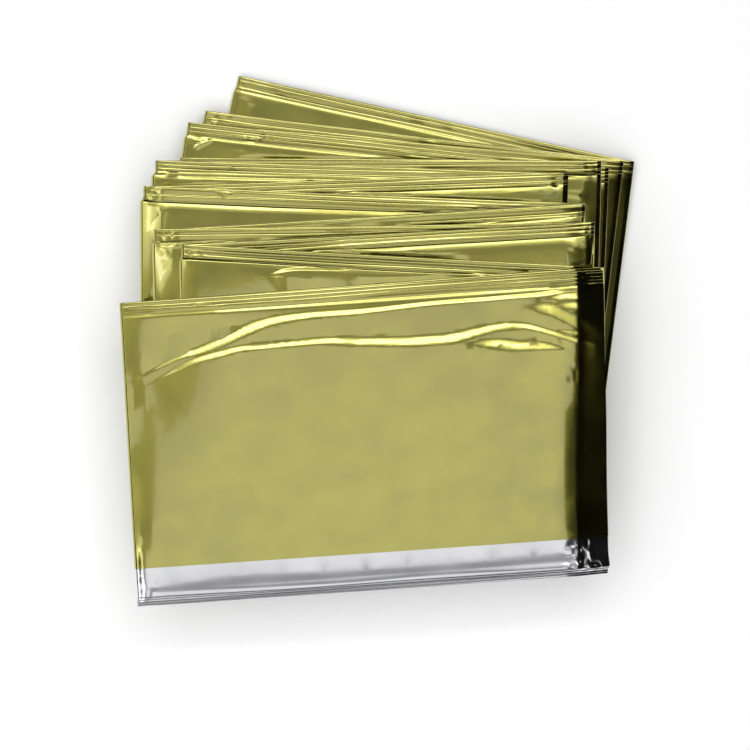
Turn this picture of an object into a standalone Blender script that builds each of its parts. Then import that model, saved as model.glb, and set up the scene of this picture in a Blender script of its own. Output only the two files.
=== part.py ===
"""An emergency foil blanket, folded and lying loosely fanned, as one closed solid (metres, +Z up).

The blanket is one film, 1.6 m by 2.1 m. It is folded back and forth across its 1.6 m into a flat strip of
twenty thicknesses, and the strip is folded back and forth along its 2.1 m into a pile of panels. The solid
is that strip, as thick as its film with the air between, in all its panels and turns. The first panel lies
flat on the surface, and each next one is slipped a little towards -Y and turned a little against the last.
"""

import math
from collections import namedtuple

import bpy
import bmesh

MM = 0.001

# --- the strip, in millimetres -------------------------------------------------------------------
STRIP_WIDTH = 81.0
STRIP_THICKNESS = 1.0
FOLD_THICKNESS = 0.62       # the strip is pressed thinner where it turns
EDGE_THICKNESS = 0.34       # and its long edges are thinner than its middle
EDGE_TAPER = 3.5            # width of that thinner border
PANEL_PITCH = 1.4           # from one panel's middle plane to the next
TURN_RADIUS = 0.45          # of the strip's middle plane, in a turn
PINCH_LENGTH = 5.0          # how far from a turn the two panels begin to close up

# --- the pile, in millimetres --------------------------------------------------------------------
PUFF = 1.0                  # how much the top panel stands up in its middle
PUFF_REACH_X = 66.0
PUFF_REACH_Y = 44.0
DROOP_START_X = 52.8        # the top panels bend down past this line, over the shorter ones below
DROOP_SLOPE = 0.7
DROOP_ROUNDING = 0.8
DROOP_STEP = 0.35           # each lower panel bends this much earlier
FIRST_DROOPING = 12         # panels below this one stay flat
HALF_DROOPING = (14, 15)    # these bend fully only where the panels above cover them
HALF_DROOP_SHARE = 0.3
HALF_DROOP_Y = (18.5, 25.0)
TIP_DROOP = 2.2             # the top two panels dip where they reach past the others on the left
TIP_DROOP_X = (-40.0, -69.0)
FIRST_TIP_DROOPING = 17

# Where each panel ends, from the surface up. side: -1 is a left end and +1 a right one. x, y: the top
# corner of the outermost edge, in millimetres. lean: how far the edge swings to +X on its way down, in
# degrees. The first and the last row are the strip's free ends, and each other row is a turn.
Fold = namedtuple("Fold", "name side x y lean")
FOLDS = [
    Fold("end_low", +1, 66.9, 47.4, -12.7),
    Fold("left_1", -1, -38.6, 71.5, -12.3),
    Fold("right_1", +1, 69.1, 48.3, -7.1),
    Fold("left_2", -1, -47.4, 62.0, -12.3),
    Fold("right_2", +1, 66.1, 48.2, -6.8),
    Fold("left_3", -1, -52.1, 58.6, -8.0),
    Fold("right_3", +1, 61.9, 46.1, -2.4),
    Fold("left_4", -1, -54.1, 48.9, -4.0),
    Fold("right_4", +1, 59.7, 47.9, -1.5),
    Fold("left_5", -1, -61.1, 47.9, -0.8),
    Fold("right_5", +1, 50.7, 44.5, -2.5),
    Fold("left_6", -1, -64.2, 40.9, 0.3),
    Fold("right_6", +1, 55.1, 36.1, -1.5),
    Fold("left_7", -1, -60.9, 29.1, 1.8),
    Fold("right_7", +1, 57.4, 31.1, -1.2),
    Fold("left_8", -1, -53.5, 25.0, 1.6),
    Fold("right_8", +1, 59.9, 19.0, 0.8),
    Fold("left_9", -1, -69.1, 9.4, 3.3),
    Fold("end_top", +1, 59.6, 18.2, 1.0),
]
PANELS = len(FOLDS) - 1

# --- how finely the solid is drawn ---------------------------------------------------------------
STRIP_HEIGHTS = (0.0, EDGE_TAPER, 29.0, 53.0, STRIP_WIDTH - EDGE_TAPER, STRIP_WIDTH)
PANEL_INSETS = (0.0, 1.6, 4.0)              # rows near a turn, from its inner end
PANEL_SHARES = (0.18, 0.38, 0.62, 0.82)     # and rows over the rest of the panel
TURN_STEPS = 6

OLIVE = (0.305, 0.305, 0.061, 1.0)
FILM_ROUGHNESS = 0.2

Place = namedtuple("Place", "x y z thickness")


def smooth(low, high, value):
    """0 below low, 1 above high, and a smooth rise between (or the other way round if high < low)."""
    share = min(max((value - low) / (high - low), 0.0), 1.0)
    return share * share * (3.0 - 2.0 * share)


def is_free_end(index):
    return index in (0, PANELS)


def down_the_edge(fold):
    lean = math.radians(fold.lean)
    return math.sin(lean), -math.cos(lean)


def outward(fold):
    lean = math.radians(fold.lean)
    return fold.side * math.cos(lean), fold.side * math.sin(lean)


def level(panel):
    """The height of a panel's middle plane, before the pile puffs up or droops."""
    return STRIP_THICKNESS / 2 + (panel - 1) * PANEL_PITCH


def turn_axis(index, height):
    """The plan position of a turn's axis, or of a free end, at this height up the strip."""
    fold = FOLDS[index]
    run = STRIP_WIDTH - height
    down, out = down_the_edge(fold), outward(fold)
    inset = 0.0 if is_free_end(index) else TURN_RADIUS + FOLD_THICKNESS / 2
    return fold.x + run * down[0] - inset * out[0], fold.y + run * down[1] - inset * out[1]


def closing(distance):
    """1 at a turn, falling to 0 where the panels no longer close up."""
    return max(1.0 - distance / PINCH_LENGTH, 0.0) ** 2


def puff(layer, x, y):
    share = (layer - 1) / (PANELS - 1)
    across = max(1.0 - (x / PUFF_REACH_X) ** 2, 0.0)
    along = max(1.0 - (y / PUFF_REACH_Y) ** 2, 0.0)
    return PUFF * share * math.sqrt(across * along)


def right_droop(layer, x, y):
    if layer < FIRST_DROOPING:
        return 0.0
    start = DROOP_START_X - DROOP_STEP * (PANELS - layer)
    run = math.log1p(math.exp((x - start) / DROOP_ROUNDING)) * DROOP_ROUNDING
    share = 1.0
    if HALF_DROOPING[0] <= layer <= HALF_DROOPING[1]:
        covered = smooth(HALF_DROOP_Y[1], HALF_DROOP_Y[0], y)
        share = HALF_DROOP_SHARE + (1.0 - HALF_DROOP_SHARE) * covered
    if layer < HALF_DROOPING[0]:
        share = HALF_DROOP_SHARE
    return DROOP_SLOPE * run * share


def left_droop(layer, x):
    if layer < FIRST_TIP_DROOPING:
        return 0.0
    share = min(max((x - TIP_DROOP_X[0]) / (TIP_DROOP_X[1] - TIP_DROOP_X[0]), 0.0), 1.0)
    return TIP_DROOP * share * share


def settle(layer, x, y):
    """How far a place on this layer stands above its level plane."""
    return puff(layer, x, y) - right_droop(layer, x, y) - left_droop(layer, x)


def on_panel(panel, share, height):
    """A place on a panel's middle plane, share of the way from its lower turn to its upper one."""
    ax, ay = turn_axis(panel - 1, height)
    bx, by = turn_axis(panel, height)
    x, y = ax + (bx - ax) * share, ay + (by - ay) * share
    length = math.hypot(bx - ax, by - ay)
    after = 0.0 if is_free_end(panel - 1) else closing(share * length)
    before = 0.0 if is_free_end(panel) else closing((1.0 - share) * length)
    pinch = PANEL_PITCH / 2 - TURN_RADIUS
    z = level(panel) + pinch * (before - after) + settle(panel, x, y)
    thickness = STRIP_THICKNESS + (FOLD_THICKNESS - STRIP_THICKNESS) * max(before, after)
    return Place(x, y, z, thickness)


def on_turn(index, share, height):
    """A place on the turn between two panels, share of the way from the lower to the upper one."""
    angle = math.pi * share
    axis_x, axis_y = turn_axis(index, height)
    out = outward(FOLDS[index])
    x = axis_x + out[0] * TURN_RADIUS * math.sin(angle)
    y = axis_y + out[1] * TURN_RADIUS * math.sin(angle)
    lower, upper = settle(index, x, y), settle(index + 1, x, y)
    rise = (1.0 - math.cos(angle)) / 2
    z = (level(index) + level(index + 1)) / 2 - TURN_RADIUS * math.cos(angle) + lower + (upper - lower) * rise
    return Place(x, y, z, FOLD_THICKNESS)


def panel_shares(panel):
    """The shares of a panel's length at which it has a row of points."""
    ax, ay = turn_axis(panel - 1, STRIP_WIDTH / 2)
    bx, by = turn_axis(panel, STRIP_WIDTH / 2)
    near = [inset / math.hypot(bx - ax, by - ay) for inset in PANEL_INSETS]
    return near + list(PANEL_SHARES) + [1.0 - share for share in reversed(near)]


def rows_along_strip():
    """A function of the height up the strip for each row of points, from the low end to the top end."""
    rows = []
    for panel in range(1, PANELS + 1):
        rows += [lambda height, p=panel, s=share: on_panel(p, s, height) for share in panel_shares(panel)]
        if not is_free_end(panel):
            steps = [step / TURN_STEPS for step in range(1, TURN_STEPS)]
            rows += [lambda height, i=panel, s=share: on_turn(i, s, height) for share in steps]
    return rows


def folded_strip(name):
    """The strip as an open grid, folded by putting each of its points in place, with its thickness as weights."""
    rows = rows_along_strip()
    strip = bmesh.new()
    bmesh.ops.create_grid(strip, x_segments=len(rows) - 1, y_segments=len(STRIP_HEIGHTS) - 1, size=0.5)
    weights = strip.verts.layers.deform.verify()
    for point in strip.verts:
        row = rows[round((point.co.x + 0.5) * (len(rows) - 1))]
        across = round((point.co.y + 0.5) * (len(STRIP_HEIGHTS) - 1))
        place = row(STRIP_HEIGHTS[across])
        thickness = EDGE_THICKNESS if across in (0, len(STRIP_HEIGHTS) - 1) else place.thickness
        point.co = (place.x * MM, place.y * MM, place.z * MM)
        point[weights][0] = thickness / STRIP_THICKNESS
    mesh = bpy.data.meshes.new(name)
    strip.to_mesh(mesh)
    strip.free()
    return mesh


def film_material():
    material = bpy.data.materials.new("olive_metallised_film")
    material.use_nodes = True
    shader = material.node_tree.nodes["Principled BSDF"]
    shader.inputs["Base Color"].default_value = OLIVE
    shader.inputs["Metallic"].default_value = 1.0
    shader.inputs["Roughness"].default_value = FILM_ROUGHNESS
    return material


def folded_blanket(collection):
    """The strip with its thickness, as one closed solid."""
    blanket = bpy.data.objects.new("folded_blanket", folded_strip("folded_blanket"))
    collection.objects.link(blanket)
    blanket.data.materials.append(film_material())
    blanket.vertex_groups.new(name="thickness")
    thicken = blanket.modifiers.new("thickness", "SOLIDIFY")
    thicken.thickness = STRIP_THICKNESS * MM
    thicken.offset = 0.0
    thicken.vertex_group = "thickness"
    thicken.thickness_vertex_group = 0.0
    return blanket


def main():
    for old in list(bpy.data.objects):
        bpy.data.objects.remove(old)
    collection = bpy.data.collections.new("emergency_foil_blanket")
    bpy.context.scene.collection.children.link(collection)
    folded_blanket(collection)


main()
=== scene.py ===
"""A foil blanket of olive and silver film, folded and loosely fanned, on a pale studio floor.

The film is drawn flat, as it is cut, and each of its points is then put where the folding takes it: first
back and forth across its 1.6 m into a flat strip of twenty passes, then back and forth along its 2.1 m into
a fan of panels. Sizes are in millimetres until the mesh is written, and places are in the CAD frame.
"""

import math
from collections import namedtuple

import bmesh
import bpy
import numpy as np
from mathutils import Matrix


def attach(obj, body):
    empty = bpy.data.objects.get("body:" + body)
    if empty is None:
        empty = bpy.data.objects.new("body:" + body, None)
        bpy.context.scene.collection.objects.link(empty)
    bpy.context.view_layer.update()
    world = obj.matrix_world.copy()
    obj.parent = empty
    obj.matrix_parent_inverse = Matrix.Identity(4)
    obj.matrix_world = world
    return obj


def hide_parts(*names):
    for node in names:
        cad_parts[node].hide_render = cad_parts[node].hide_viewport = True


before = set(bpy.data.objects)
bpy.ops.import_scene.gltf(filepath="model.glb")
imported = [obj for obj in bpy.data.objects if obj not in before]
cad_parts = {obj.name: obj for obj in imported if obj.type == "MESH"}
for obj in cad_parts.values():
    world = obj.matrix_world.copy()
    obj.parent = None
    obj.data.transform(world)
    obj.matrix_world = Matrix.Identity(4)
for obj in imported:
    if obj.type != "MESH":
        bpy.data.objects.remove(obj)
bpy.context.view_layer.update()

MM = 0.001
FILM_WIDTH, FILM_LENGTH = 1600.0, 2100.0


# --- camera ---

LENS, SENSOR = 197.8, 36.0
EYE = (-1.2, -9.8, 1122.0)          # in millimetres


def make_camera():
    """A long lens straight above, as far away as keeps the far and the near panels at one scale."""
    data = bpy.data.cameras.new("camera")
    data.lens = LENS
    data.sensor_width = SENSOR
    data.clip_start, data.clip_end = 0.01, 20.0
    camera = bpy.data.objects.new("camera", data)
    camera.location = [value * MM for value in EYE]
    bpy.context.scene.collection.objects.link(camera)
    bpy.context.scene.camera = camera


make_camera()


# --- the strip and the pile ---

STRIP_WIDTH = 81.0
STRIP_THICKNESS = 1.0
FOLD_THICKNESS = 0.50               # where the strip begins to turn
TIP_THICKNESS = 0.14                # and at the sharp edge of the turn
PANEL_PITCH = 1.4
TURN_RADIUS = 0.36                  # of the strip's middle plane in a turn, up and down
TURN_SHAPE = 1.15                   # how pointed a turn is
TURN_REACH = {-1: 0.60, +1: 1.0}    # how far a turn reaches out on each side of the pile
TURN_REACHES = {"right_5": 1.3, "right_6": 0.75, "right_7": 0.85}  # and where one does so differently
OUTSET = 0.2                        # the film's own edges stand out from the solid's by this much
PINCH_LENGTH = {-1: 14.0, +1: 4.2}  # how far from a turn the two panels begin to close up, on each side
PINCH_LENGTHS = {"left_6": 4.9, "left_7": 6.4, "left_8": 16.0, "left_9": 28.0,
                 "right_4": 4.0, "right_5": 7.5, "right_6": 7.5, "right_7": 7.5}
PINCH_SHAPE = 1.25                  # how much more they close up near the turn than further off
# Where the closing has a kink: how far from the turn, and the share of the closing that happens up to there.
Kink = namedtuple("Kink", "distance share")
PINCH_KINKS = {"left_6": Kink(1.33, 0.17), "left_7": Kink(1.6, 0.17), "left_9": Kink(4.4, 0.46)}

PUFF = 2.2                          # how far the top panel stands up in its middle, the lower ones less
PUFF_REACH_X = 66.0                 # how far from the middle the puff becomes least
PUFF_AT_ENDS = 0.5                  # the share of it that the ends of the panels still have
PUFF_Y = (50.0, 6.0)                # it grows from the first of these to the second

DROOP_START_X = 52.9                # the top panels bend down past this line, over the shorter ones below
DROOP_STEP = 0.35                   # each lower panel bends this much earlier
DROOP_SLOPE = 0.56
DROOP_ROUNDING = 0.35
FIRST_DROOPING = 12                 # panels below this one stay flat
LOW_DROOP_SHARE = 0.12              # the next ones bend only this much
HALF_DROOPING = (14, 15)            # and these bend fully only where the panels above cover them
HALF_DROOP_SHARE = 0.05             # where they don't cover them, this is left of it
HALF_DROOP_Y = (16.5, 20.5)         # between the first of these and the second
EDGE_START_X = 49.8                 # the top panel begins to fall off gently before its bend
EDGE_SLOPE = 0.075
EDGE_Y = (-6.0, -24.0)              # more and more from the first of these to the second

# Where each panel ends, from the surface up: side -1 is a left end and +1 a right one, x and y are the top
# corner of the outermost edge, and lean is how far that edge swings to +X on its way down, in degrees. The
# first and the last row are the strip's free ends, and each panel runs from its own row to the next.
Fold = namedtuple("Fold", "name side x y lean")
FOLDS = [Fold(*row) for row in (
    ("end_low", +1, 66.9, 47.4, -12.7),
    ("left_1", -1, -38.6, 71.5, -12.3),
    ("right_1", +1, 69.1, 48.3, -7.1),
    ("left_2", -1, -47.4, 62.0, -12.3),
    ("right_2", +1, 66.1, 48.2, -6.8),
    ("left_3", -1, -52.1, 58.6, -8.0),
    ("right_3", +1, 61.9, 46.1, -2.4),
    ("left_4", -1, -54.1, 48.9, -4.0),
    ("right_4", +1, 59.7, 47.9, -1.5),
    ("left_5", -1, -61.1, 47.9, -0.8),
    ("right_5", +1, 50.7, 44.5, -2.5),
    ("left_6", -1, -64.2, 40.9, 0.3),
    ("right_6", +1, 55.1, 36.1, -1.5),
    ("left_7", -1, -60.9, 29.1, 1.8),
    ("right_7", +1, 57.4, 31.1, -1.2),
    ("left_8", -1, -53.5, 25.0, 1.6),
    ("right_8", +1, 59.9, 19.0, 0.8),
    ("left_9", -1, -69.1, 9.4, 3.3),
    ("end_top", +1, 59.6, 18.2, 1.0),
)]
PANELS = len(FOLDS) - 1
SEGMENTS = 2 * PANELS - 1           # panels and the turns between them, along the strip


# --- the passes across the film ---

PASSES = 20
HALF = PASSES // 2
CUT_EDGE = 10.0                     # the two outer passes end this far up the strip
OUTER_GAP = 0.2                     # the two outermost passes lie this far off the next ones
FLAT_GAP = (STRIP_THICKNESS - 2 * OUTER_GAP) / (PASSES - 3)
DOWN_SHARE = 0.2                    # on a panel's underside creases stand open by this share of those on top
# How much earlier than the film below them the top creases turn at the left folds, and between which heights.
CORNER_INSETS = {"left_1": 0.45, "left_2": 0.35, "left_3": 0.45, "left_4": 0.4,
                 "left_5": 0.9, "left_6": 0.95, "left_7": 0.6, "left_8": 0.7}
CORNER_HEIGHTS = (76.8, 77.8)

# The creases along the strip, from its first face to its middle: how high each lies, how far that wanders,
# the gap in it, how far its film stands up at its tip and in its crown, and how long crown and closing are.
Crease = namedtuple("Crease", "height wander gap tip opening crown reach")
TOP_CREASES = [
    Crease(77.5, 0.30, OUTER_GAP, 0.10, 0.21, 1.25, 36.0),
    Crease(78.5, 0.45, FLAT_GAP, 0.02, 0.100, 0.50, 0.70),
    Crease(79.4, 0.45, FLAT_GAP, 0.02, 0.085, 0.46, 0.60),
    Crease(80.3, 0.30, FLAT_GAP, 0.03, 0.085, 0.46, 0.60),
    Crease(81.0, 0.10, FLAT_GAP, 0.02, 0.060, 0.40, 0.50),
]
BOTTOM_CREASES = [
    Crease(2.4, 0.50, FLAT_GAP, 0.10, 0.20, 1.0, 5.0),
    Crease(1.5, 0.40, FLAT_GAP, 0.08, 0.14, 0.9, 3.0),
    Crease(0.8, 0.30, FLAT_GAP, 0.06, 0.14, 0.8, 2.5),
    Crease(0.3, 0.20, FLAT_GAP, 0.05, 0.12, 0.8, 2.0),
    Crease(0.0, 0.10, FLAT_GAP, 0.05, 0.12, 0.8, 2.0),
]
# The passes on the strip's other side have the same creases the other way round.
TOP_CREASES = TOP_CREASES + TOP_CREASES[::-1]
BOTTOM_CREASES = BOTTOM_CREASES + BOTTOM_CREASES[-2::-1]

TIP_LENGTH, TIP_PROPORTION = 0.05, 1.4      # a tip is this long, and longer by this share of its height
GENTLE_FACES = (2, 4, 6, 8, 10, 18)         # the panels whose faces begin less steeply
GENTLE_PROPORTION = 3.7
# How high the crown and the tip of a panel's face stand, as a share of the crease's own, where it isn't 1.
FACE_OPENING = {2: 0.25, 4: 0.25, 6: 0.25, 8: 0.25, 10: 0.25, 13: 0.7, 16: 0.35, 18: 0.15}
FACE_TIP = {2: 0.2, 4: 0.2, 6: 0.2, 8: 0.2, 9: 1.6, 10: 0.3, 12: 2.2, 16: 2.2, 18: 0.3}
BAND_OPENING = {9: 1.2, 13: 1.1, 15: 1.2, 18: 0.6}  # and of the crowns of the creases beyond the face
# How creases wander along the film, and how their openings change: a seed, over what length, and how much.
Waves = namedtuple("Waves", "seed length share")
HEIGHT_WAVES = (Waves(0, 118.0, 1.30), Waves(50, 33.0, 0.35))
OPENING_WAVES = (Waves(20, 26.0, 0.50), Waves(30, 67.0, 0.50))
FACE_WAVES = 0.5                    # the share of that in the crease of a face
LEAST_OPENING = 0.10                # and the share of its opening that a crease always keeps
TOP_SEED, BOTTOM_SEED = 100, 300

RAMP_ROUNDING = 0.05
LINE_VALUES, GRID_VALUES = 4096, 256  # how many random values there are before they repeat


def smooth(low, high, value):
    """0 below low, 1 above high, and a smooth rise between, or the other way round if high < low."""
    share = np.clip((value - low) / (high - low), 0.0, 1.0)
    return share * share * (3.0 - 2.0 * share)


def ramp(share):
    """0 up to 0 and 1 from 1 on, straight between but for its rounded ends."""
    rise = np.logaddexp(0.0, share / RAMP_ROUNDING * 2) - np.logaddexp(0.0, (share - 1.0) / RAMP_ROUNDING * 2)
    return RAMP_ROUNDING * rise / 2


def bend(place, start, rounding):
    """0 before a bend and the distance from it beyond, with this rounding."""
    return np.logaddexp(0.0, (place - start) / rounding) * rounding


def wander(seed, place, wavelength):
    """A seeded value from -1 to 1 that changes smoothly over this length."""
    values = np.random.default_rng(seed).uniform(-1.0, 1.0, LINE_VALUES)
    position = place / wavelength
    index = np.floor(position).astype(int)
    share = smooth(0.0, 1.0, position - index)
    return values[index % LINE_VALUES] * (1.0 - share) + values[(index + 1) % LINE_VALUES] * share


def wander_over(seed, x, y, wavelength):
    """The same over a surface."""
    values = np.random.default_rng(seed).uniform(-1.0, 1.0, (GRID_VALUES, GRID_VALUES))
    column, line = np.floor(x / wavelength).astype(int), np.floor(y / wavelength).astype(int)
    across, up = smooth(0.0, 1.0, x / wavelength - column), smooth(0.0, 1.0, y / wavelength - line)
    left, right = column % GRID_VALUES, (column + 1) % GRID_VALUES
    below, above = line % GRID_VALUES, (line + 1) % GRID_VALUES
    low = values[left, below] * (1 - across) + values[right, below] * across
    high = values[left, above] * (1 - across) + values[right, above] * across
    return low * (1.0 - up) + high * up


def unevenness(waves, seed, run):
    """Several seeded waves along the film, added up."""
    return sum(wave.share * wander(seed + wave.seed, run, wave.length) for wave in waves)


def by_panel(table, panel):
    """What a table says for each place's panel, and 1 for the panels it leaves out."""
    return np.array([table.get(number, 1.0) for number in range(PANELS + 1)])[panel]


# The folds as arrays, so that many places are worked out at once.
FOLD_X = np.array([fold.x for fold in FOLDS])
FOLD_Y = np.array([fold.y for fold in FOLDS])
FOLD_SIDE = np.array([float(fold.side) for fold in FOLDS])
FOLD_LEAN = np.radians([fold.lean for fold in FOLDS])
FOLD_REACH = np.array([TURN_REACHES.get(fold.name, TURN_REACH[fold.side]) for fold in FOLDS])
FOLD_REACH[[0, PANELS]] = 0.0
FOLD_INSET = np.where(FOLD_REACH > 0.0, FOLD_REACH + TIP_THICKNESS / 2 - OUTSET, 0.0)
FOLD_CORNER = np.array([CORNER_INSETS.get(fold.name, 0.0) for fold in FOLDS])
FOLD_PINCH = np.array([PINCH_LENGTHS.get(fold.name, PINCH_LENGTH[fold.side]) for fold in FOLDS])
FOLD_KINK = np.array([PINCH_KINKS.get(fold.name, Kink(0.0, 0.0)) for fold in FOLDS])


def segment_of(along):
    """The panels and turns that places along the strip lie in: 0, 2, 4 and so on are panels."""
    return np.clip(np.floor(along), 0, SEGMENTS - 1).astype(int)


def turn_axis(index, height):
    """The plan position of a turn's axis, or of a free end, at this height up the strip."""
    run = STRIP_WIDTH - height
    sine, cosine = np.sin(FOLD_LEAN[index]), np.cos(FOLD_LEAN[index])
    inset = FOLD_INSET[index] + FOLD_CORNER[index] * smooth(*CORNER_HEIGHTS, height)
    inset = inset * FOLD_SIDE[index]
    return FOLD_X[index] + run * sine - inset * cosine, FOLD_Y[index] - run * cosine - inset * sine


def level(panel):
    """How high a panel's middle plane lies where nothing bends it."""
    return STRIP_THICKNESS / 2 + (panel - 1) * PANEL_PITCH


def closing(distance, index):
    """1 at a turn, falling to 0 where the panels no longer close up."""
    kink, at_kink = FOLD_KINK[index, 0], FOLD_KINK[index, 1]
    plain = np.clip(1.0 - distance / FOLD_PINCH[index], 0.0, 1.0) ** PINCH_SHAPE
    before = 1.0 - at_kink * distance / np.maximum(kink, 1e-6)
    beyond = (1.0 - at_kink) * np.clip((FOLD_PINCH[index] - distance) / (FOLD_PINCH[index] - kink), 0.0, 1.0)
    return np.where(kink > 0.0, np.where(distance < kink, before, beyond), plain)


def puff(layer, x, y):
    """How far a layer stands up, most in the middle of the top panel."""
    across = PUFF_AT_ENDS + (1.0 - PUFF_AT_ENDS) * smooth(1.0, 0.0, np.abs(x) / PUFF_REACH_X)
    return PUFF * (layer - 1) / (PANELS - 1) * across * smooth(*PUFF_Y, y)


def right_droop(layer, x, y):
    """How far a layer hangs down at its right end."""
    run = bend(x, DROOP_START_X - DROOP_STEP * (PANELS - layer), DROOP_ROUNDING)
    covered = smooth(HALF_DROOP_Y[1], HALF_DROOP_Y[0], y)
    partly = HALF_DROOP_SHARE + (1.0 - HALF_DROOP_SHARE) * covered
    share = np.select([layer < FIRST_DROOPING, layer < HALF_DROOPING[0], layer <= HALF_DROOPING[1]],
                      [0.0, LOW_DROOP_SHARE, partly], 1.0)
    edge = EDGE_SLOPE * bend(x, EDGE_START_X, DROOP_ROUNDING) * smooth(*EDGE_Y, y)
    return DROOP_SLOPE * run * share + np.where(layer == PANELS, edge, 0.0)


def settle(layer, x, y):
    """How far a place on this layer stands above its level plane."""
    return puff(layer, x, y) - right_droop(layer, x, y)


def middle(along, height):
    """Where places along and up the strip's middle plane are, and how thick the strip is there."""
    segment = segment_of(along)
    share = along - segment
    panel = segment // 2 + 1
    ax, ay = turn_axis(panel - 1, height)
    bx, by = turn_axis(panel, height)
    x, y = ax + (bx - ax) * share, ay + (by - ay) * share
    length = np.hypot(bx - ax, by - ay)
    after = np.where(panel == 1, 0.0, closing(share * length, panel - 1))
    before = np.where(panel == PANELS, 0.0, closing((1.0 - share) * length, panel))
    z = level(panel) + (PANEL_PITCH / 2 - TURN_RADIUS) * (before - after) + settle(panel, x, y)
    thickness = STRIP_THICKNESS + (FOLD_THICKNESS - STRIP_THICKNESS) * np.maximum(before, after)

    turn = (segment + 1) // 2
    out = 1.0 - np.abs(2.0 * share - 1.0)
    reach = FOLD_REACH[turn] * out * FOLD_SIDE[turn]
    tx, ty = turn_axis(turn, height)
    tx, ty = tx + reach * np.cos(FOLD_LEAN[turn]), ty + reach * np.sin(FOLD_LEAN[turn])
    lower, upper = settle(turn, tx, ty), settle(turn + 1, tx, ty)
    rise = np.sign(share - 0.5) * (1.0 - out ** TURN_SHAPE)
    tz = (level(turn) + level(turn + 1)) / 2 + TURN_RADIUS * rise + lower + (upper - lower) * (1.0 + rise) / 2

    turning = segment % 2 == 1
    place = np.where(turning, (tx, ty, tz), (x, y, z)).T
    turned = FOLD_THICKNESS + (TIP_THICKNESS - FOLD_THICKNESS) * out
    return place, np.where(turning, turned, thickness) / STRIP_THICKNESS


def across_middle(along, height):
    """The unit normal of the strip's middle plane, on the side of the first pass."""
    step = 1e-3
    low, high = np.maximum(along - step, 0.0), np.minimum(along + step, SEGMENTS)
    run = middle(high, height)[0] - middle(low, height)[0]
    rise = middle(along, height + step)[0] - middle(along, height - step)[0]
    normal = np.cross(run, rise)
    return normal / np.linalg.norm(normal, axis=1)[:, None]


def panel_length(panel):
    """How long a panel is, halfway up the strip."""
    ax, ay = turn_axis(panel - 1, STRIP_WIDTH / 2)
    bx, by = turn_axis(panel, STRIP_WIDTH / 2)
    return math.hypot(bx - ax, by - ay)


def along_film(along):
    """The distance along the film in millimetres, for places in segments."""
    lengths = []
    for panel in range(1, PANELS + 1):
        lengths += [panel_length(panel), math.pi * TURN_RADIUS]
    ends = np.concatenate(([0.0], np.cumsum(lengths[:-1])))
    return np.interp(along, range(SEGMENTS + 1), ends)


def from_turn(along):
    """The distance to the nearest turn of the strip, 0 in the turns."""
    segment = segment_of(along)
    panel = segment // 2 + 1
    run = along_film(along)
    start, end = along_film(segment), along_film(segment + 1)
    from_start = np.where(panel == 1, np.inf, run - start)
    from_end = np.where(panel == PANELS, np.inf, end - run)
    return np.where(segment % 2 == 1, 0.0, np.minimum(from_start, from_end))


def facing_up(along):
    """1 where the first pass is on top of its panel and -1 where the last one is."""
    segment = segment_of(along)
    return np.where((PANELS - segment // 2 - 1) % 2 == 0, 1, -1)


def crease_heights(creases, seed, run):
    """How high each crease lies at these distances along the film."""
    return np.array([crease.height + crease.wander * unevenness(HEIGHT_WAVES, seed + k, run)
                     for k, crease in enumerate(creases)])


def standing_open(creases, seed, run, distance, up, upper, panel):
    """How far each crease's film stands apart at these distances from the creases' tips."""
    rows = []
    for k, crease in enumerate(creases):
        of_face = crease.gap == OUTER_GAP
        higher = by_panel(FACE_TIP, panel) if of_face else 1.0
        gentle = np.isin(panel, GENTLE_FACES) & of_face
        proportion = np.where(gentle, GENTLE_PROPORTION, TIP_PROPORTION)
        tip_length = TIP_LENGTH + proportion * (crease.tip * higher + crease.gap)
        tip = np.clip(distance[k] / tip_length, 0.0, 1.0)
        crown = ramp((distance[k] - tip_length) / crease.crown)
        uneven = (FACE_WAVES if of_face else 1.0) * unevenness(OPENING_WAVES, seed + k, run)
        opening = crease.opening * np.maximum(1.0 + uneven, LEAST_OPENING)
        opening = opening * by_panel(FACE_OPENING if of_face else BAND_OPENING, panel)
        on_top = upper[k] == up if upper[k] else np.full(len(run), False)
        standing = (tip * crease.tip * higher + crown * opening) * np.where(on_top, 1.0, DOWN_SHARE)
        closing_up = smooth(1.0, 0.0, (distance[k] - crease.crown) / crease.reach)
        rows.append(tip * crease.gap + standing * closing_up)
    return np.array(rows)


def strip_section(along, across):
    """Height up the strip, depth in it from its middle plane, and pass, for places on the film."""
    run = along_film(along)
    up = facing_up(along)
    number = np.clip(np.floor(across), 0, PASSES - 1).astype(int)
    share = across - number
    top = crease_heights(TOP_CREASES, TOP_SEED, run)
    bottom = crease_heights(BOTTOM_CREASES, BOTTOM_SEED, run)
    index = np.arange(len(run))
    high = top[number // 2, index]
    low = np.where((number == 0) | (number == PASSES - 1), CUT_EDGE,
                   bottom[np.clip((number + 1) // 2 - 1, 0, HALF - 2), index])
    rising = number % 2 == 0
    height = np.where(rising, low + (high - low) * share, high - (high - low) * share)
    top_sides = [1 if k < HALF // 2 else -1 for k in range(HALF)]
    bottom_sides = [1] * (HALF // 2 - 1) + [0] + [-1] * (HALF // 2 - 1)
    panel = segment_of(along) // 2 + 1
    gaps = np.zeros((PASSES - 1, len(run)))
    gaps[0::2] = standing_open(TOP_CREASES, TOP_SEED, run, top - height, up, top_sides, panel)
    gaps[1::2] = standing_open(BOTTOM_CREASES, BOTTOM_SEED, run, height - bottom, up, bottom_sides, panel)
    depth = np.zeros(len(run))
    for k in range(PASSES - 1):
        share_of_gap = 0.5 if k == HALF - 1 else 1.0
        if k <= HALF - 1:
            depth += np.where(number <= k, gaps[k] * share_of_gap, 0.0)
        if k >= HALF - 1:
            depth -= np.where(number > k, gaps[k] * share_of_gap, 0.0)
    return height, depth, number


# --- what the film does where it shows ---

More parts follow.
